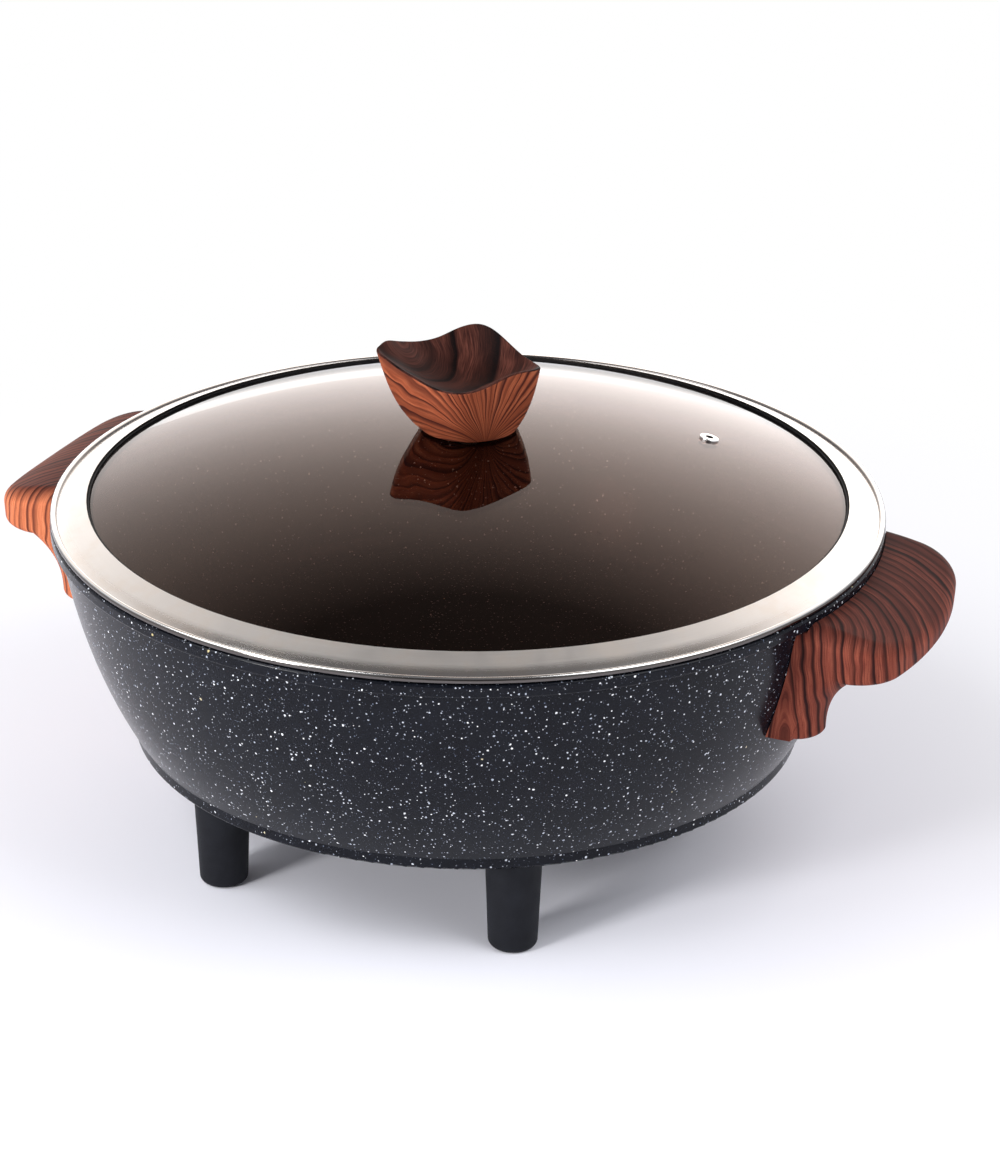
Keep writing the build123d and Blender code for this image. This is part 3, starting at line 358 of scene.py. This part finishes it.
def band_steel():
    """Steel with fine brushing round the pot's axis, faint stains, and a rolled edge painted dark as a
    painted reflection of the black rim below it.
    """
    material, g = new_material("band_steel")
    x, y, z = g.parts(g.place())
    radius = g.length(x, y)
    turn = g.math("ARCTAN2", y, x)
    at = g.join(g.math("MULTIPLY", radius, BRUSHING), g.math("MULTIPLY", turn, 5.0),
                g.math("MULTIPLY", z, BRUSHING))
    lines = g.noise(at, 1.0, 2.0, 0.6)
    patches = g.noise(g.place(), 60.0, 3.0, 0.6)
    tone = g.ramp(lines, (0.25, tuple(0.94 * c for c in BAND_TONE)), (0.75, BAND_TONE))
    tone = g.mix(g.rescale(patches, 0.42, 0.66, 0.0, 0.35, smooth=True), tone, BAND_STAIN)
    # Painted reflection: the steel is painted dark where its surface turns away from up, round the
    # whole rolled edge, standing for the black rim it reflects.
    tone = g.mix(g.rescale(g.level(), 0.50, 0.96, 0.95, 0.0, smooth=True), tone, BAND_EDGE_PAINTED_REFLECTION)
    beyond = g.math("MAXIMUM", g.math("SUBTRACT", radius, CROWN_START), 0.0)
    crown = g.math("MULTIPLY", g.math("MULTIPLY", beyond, beyond), -CROWN_FALL)
    wear = g.math("MULTIPLY", g.math("ADD", lines, patches), 0.5)
    rough = g.rescale(wear, 0.35, 0.65, *BAND_ROUGHNESS)
    polish = g.rescale(radius, CROWN_START, CROWN_END, 1.0, CROWN_POLISH, smooth=True)
    g.surface(
        Base_Color=tone,
        Metallic=1.0,
        Roughness=g.math("MULTIPLY", rough, polish),
        Normal=g.bump(g.math("MULTIPLY_ADD", lines, BRUSH_RELIEF, crown), 1.0),
    )
    return material


def metal(name, dim, bright, low, high, scale=180.0):
    """Plain metal with faint tarnish, of a roughness from low to high."""
    material, g = new_material(name)
    patches = g.noise(g.place(), scale, 4.0, 0.65)
    g.surface(
        Base_Color=g.ramp(patches, (0.3, dim), (0.7, bright)),
        Metallic=1.0,
        Roughness=g.rescale(patches, 0.3, 0.7, low, high),
        Normal=g.bump(g.noise(g.place(), 2500.0, 2.0), METAL_RELIEF, 0.3),
    )
    return material


def moulding(name, dim, bright, low, high):
    """Moulded plastic, rubber or ceramic with a fine grain, of a roughness from low to high."""
    material, g = new_material(name)
    texture = g.noise(g.place(), 1800.0, 2.0, 0.6)
    patches = g.noise(g.place(), 90.0, 3.0, 0.6)
    g.surface(
        Base_Color=g.ramp(patches, (0.3, dim), (0.7, bright)),
        Roughness=g.rescale(texture, 0.3, 0.7, low, high),
        Specular_IOR_Level=0.18,
        Normal=g.bump(texture, GRAIN_RELIEF, 0.6),
    )
    return material


# ---------------------------------------------------------------- pieces

dress(stone_coating(), "pot_body", "pot_floor", "pot_skirt", "pot_lugs", "leg_seats", "heater_seat",
      "probe_boss")
dress(wood("wood_right", (RIGHT_ARCS, HANDLE_PITCH, ORANGE), (RIGHT_ARCS, HANDLE_PITCH, CHESTNUT_WITH_PAINTED_SHADE),
           HANDLE_TURN_OVER), "handle_right")
# The left handle's sides carry painted light in their lighter tones.
dress(wood("wood_left", (LEFT_ARCS, HANDLE_PITCH, ORANGE_WITH_PAINTED_LIGHT), (LEFT_ARCS, HANDLE_PITCH, CHESTNUT_WITH_PAINTED_SHADE),
           HANDLE_TURN_OVER), "handle_left")
dress(wood("wood_knob", (knob_fan, KNOB_SIDE_PITCH, AMBER), (DISH_ARCS, KNOB_DISH_PITCH, UMBER_WITH_PAINTED_SHADE),
           KNOB_TURN_OVER), "knob")
dress(smoked_glass(), "lid_glass")
dress(band_steel(), "lid_band")
dress(metal("eyelet_steel", (0.70, 0.69, 0.68), (0.86, 0.85, 0.84), 0.14, 0.26), "vent_eyelet")
dress(metal("plain_steel", (0.50, 0.50, 0.50), (0.64, 0.64, 0.63), 0.28, 0.45),
      "handle_screws_right", "handle_screws_left", "leg_screws", "inlet_screws", "knob_screw",
      "knob_washer", "inlet_plate", "inlet_pins", "earth_tab", "probe_sleeve")
dress(metal("heater_tube", (0.20, 0.19, 0.18), (0.34, 0.33, 0.32), 0.35, 0.55, 120.0),
      "heating_element")
dress(metal("brass", (0.58, 0.40, 0.16), (0.74, 0.55, 0.26), 0.25, 0.40), "knob_insert")
dress(moulding("seal_rubber", (0.012, 0.012, 0.013), (0.020, 0.020, 0.021), 0.45, 0.60),
      "lid_seal", "knob_gasket_upper", "knob_gasket_lower")
dress(moulding("bush_ceramic", (0.70, 0.68, 0.62), (0.82, 0.80, 0.75), 0.55, 0.70), "pin_bushes")
dress(moulding("black_plastic", (0.005, 0.0055, 0.008), (0.010, 0.011, 0.015), 0.55, 0.65),
      "leg_front_left", "leg_front_right", "leg_rear_left", "leg_rear_right", "inlet_shroud")

# ---------------------------------------------------------------- stage

WHITE = (1.0, 1.0, 1.0, 1.0)
FLOOR_HALF = 6.0
FLOOR_TONES = ((0.882, 0.876, 0.940), (0.896, 0.890, 0.950))
SEEN_WHITE = (0.10, 0.52)  # distance over which the floor runs to white as it is seen
MIRRORED_WHITE = (0.35, 1.00)  # the same in reflections and through the glass
SWEEP = (0.8, 1.8)  # distance behind the pot over which the floor runs up to the backdrop's level
SWEEP_GAIN = 1.3  # what that adds to the white's strength, in glossy reflections only


def make_floor():
    """Large pale floor that takes the pot's shadow and runs to white away from it."""
    mesh = bpy.data.meshes.new("floor")
    corners = [(x * FLOOR_HALF, y * FLOOR_HALF, 0) for x, y in ((-1, -1), (1, -1), (1, 1), (-1, 1))]
    mesh.from_pydata(corners, [], [(0, 1, 2, 3)])
    floor = bpy.data.objects.new("floor", mesh)
    bpy.context.scene.collection.objects.link(floor)
    material, g = new_material("floor_paper")
    place = g.place()
    dim, pale = FLOOR_TONES
    colour = g.ramp(g.noise(place, 1.2, 2.0), (0.3, dim), (0.7, pale))
    paper = g.add("ShaderNodeBsdfDiffuse", {"Color": colour})
    path = g.add("ShaderNodeLightPath").outputs
    gain = g.rescale(view_parts(g, place)[1], *SWEEP, 0.0, SWEEP_GAIN, smooth=True)
    strength = g.math("ADD", g.math("MULTIPLY", path["Is Glossy Ray"], gain), 1.0)
    white = g.add("ShaderNodeEmission", {"Color": WHITE, "Strength": strength})
    distance = g.add("ShaderNodeVectorMath", {0: place}, operation="LENGTH").outputs["Value"]
    seen = g.math("MULTIPLY", g.rescale(distance, *SEEN_WHITE, smooth=True), path["Is Camera Ray"])
    either = g.math("MAXIMUM", path["Is Glossy Ray"], path["Is Transmission Ray"])
    mirrored = g.math("MULTIPLY", g.rescale(distance, *MIRRORED_WHITE, smooth=True), either)
    share = g.math("MAXIMUM", seen, mirrored)
    mix = g.add("ShaderNodeMixShader", {0: share, 1: paper.outputs[0], 2: white.outputs[0]})
    g.add("ShaderNodeOutputMaterial", {"Surface": mix.outputs[0]})
    mesh.materials.append(material)


# Tones of the backdrop by the upward part of the direction, from the horizon to straight up
BACKDROP = (
    (0.00, (1.000, 0.960, 0.940)),
    (0.20, (1.000, 0.950, 0.930)),
    (0.40, (0.800, 0.750, 0.720)),
    (0.62, (0.530, 0.485, 0.455)),
    (0.73, (0.320, 0.290, 0.275)),
    (0.85, (0.065, 0.059, 0.056)),
    (1.00, (0.042, 0.038, 0.036)),
)
FRONT_MIDDLE = (0.07, 0.07, 0.075)  # dark room behind the camera
FRONT_SIDES = (0.34, 0.35, 0.37)
# Parts of the direction over which one tone of the room gives way to another
MIDDLE_TO_SIDES = (0.20, 0.62)  # sideways, in front
BACKDROP_EDGE = (0.48, 0.82)  # sideways, where the backdrop ends
FRONT_TO_BACK = (-0.25, 0.30)  # ahead
LEFT_TO_RIGHT = (-0.55, 0.30)  # sideways, over which the backdrop brightens
BRIGHTNESS = (0.58, 1.06)  # of the backdrop's left and right
ROOM_STRENGTH = 2.4


def make_world():
    """Studio with a bright backdrop behind the object, brighter to the right, and a dim front.

    The camera itself sees plain white.
    """
    world = bpy.data.worlds.new("studio")
    bpy.context.scene.world = world
    g = Graph(world)
    side, ahead, z = view_parts(g, g.add("ShaderNodeTexCoord").outputs["Generated"])
    off_middle = g.math("ABSOLUTE", side)
    back = g.ramp(z, *BACKDROP)
    front = g.mix(g.rescale(off_middle, *MIDDLE_TO_SIDES, smooth=True), FRONT_MIDDLE, FRONT_SIDES)
    width = g.rescale(off_middle, *BACKDROP_EDGE, 1.0, 0.0, smooth=True)
    share = g.math("MULTIPLY", g.rescale(ahead, *FRONT_TO_BACK, smooth=True), width)
    gain = g.math("SUBTRACT", g.rescale(side, *LEFT_TO_RIGHT, *BRIGHTNESS, smooth=True), 1.0)
    strength = g.math("MULTIPLY_ADD", g.math("MULTIPLY", share, gain), ROOM_STRENGTH, ROOM_STRENGTH)
    room = g.add("ShaderNodeBackground", {"Color": g.mix(share, front, back), "Strength": strength})
    plain = g.add("ShaderNodeBackground", {"Color": WHITE, "Strength": 1.0})
    camera_ray = g.add("ShaderNodeLightPath").outputs["Is Camera Ray"]
    mix = g.add("ShaderNodeMixShader", {0: camera_ray, 1: room.outputs[0], 2: plain.outputs[0]})
    g.add("ShaderNodeOutputWorld", {"Surface": mix.outputs[0]})


LAMP_TARGET = Vector((0.0, 0.0, 0.10))
COOL = (0.97, 0.985, 1.0)
NEUTRAL = (1.0, 1.0, 1.0)
# Lamps: name, place, width, height, watts, colour
LAMPS = (
    ("left", (-0.92, -0.90, 1.52), 1.2, 1.1, 16.5, COOL),
    ("right", (1.28, -0.15, 1.52), 1.2, 1.1, 17.0, COOL),
    ("low", (-0.86, -1.70, 0.72), 0.4, 0.35, 24.0, NEUTRAL),
)


def make_lamp(name, place, width, height, power, colour):
    """Soft rectangular lamp aimed at the object."""
    light = bpy.data.lights.new(name, "AREA")
    light.shape = "RECTANGLE"
    light.size = width
    light.size_y = height
    light.energy = power
    light.color = colour
    lamp = bpy.data.objects.new(name, light)
    lamp.location = place
    lamp.rotation_mode = "QUATERNION"
    lamp.rotation_quaternion = (LAMP_TARGET - Vector(place)).to_track_quat("-Z", "Y")
    bpy.context.scene.collection.objects.link(lamp)


def make_camera():
    """Camera at the photograph's viewing angle."""
    c, s = cos(CAMERA_TURN), sin(CAMERA_TURN)
    right = Vector((c, s, 0.0))
    ahead = Vector((-s * cos(CAMERA_PITCH), c * cos(CAMERA_PITCH), -sin(CAMERA_PITCH)))
    up = right.cross(ahead)
    turned_right = right * cos(CAMERA_ROLL) + up * sin(CAMERA_ROLL)
    turned_up = up * cos(CAMERA_ROLL) - right * sin(CAMERA_ROLL)
    data = bpy.data.cameras.new("camera")
    data.lens = CAMERA_LENS
    camera = bpy.data.objects.new("camera", data)
    rotation = Matrix((turned_right, turned_up, -ahead)).transposed()
    camera.matrix_world = Matrix.Translation(CAMERA_PLACE) @ rotation.to_4x4()
    bpy.context.scene.collection.objects.link(camera)
    bpy.context.scene.camera = camera


make_floor()
make_world()
for lamp in LAMPS:
    make_lamp(*lamp)
make_camera()
bpy.context.scene.view_settings.view_transform = "Standard"
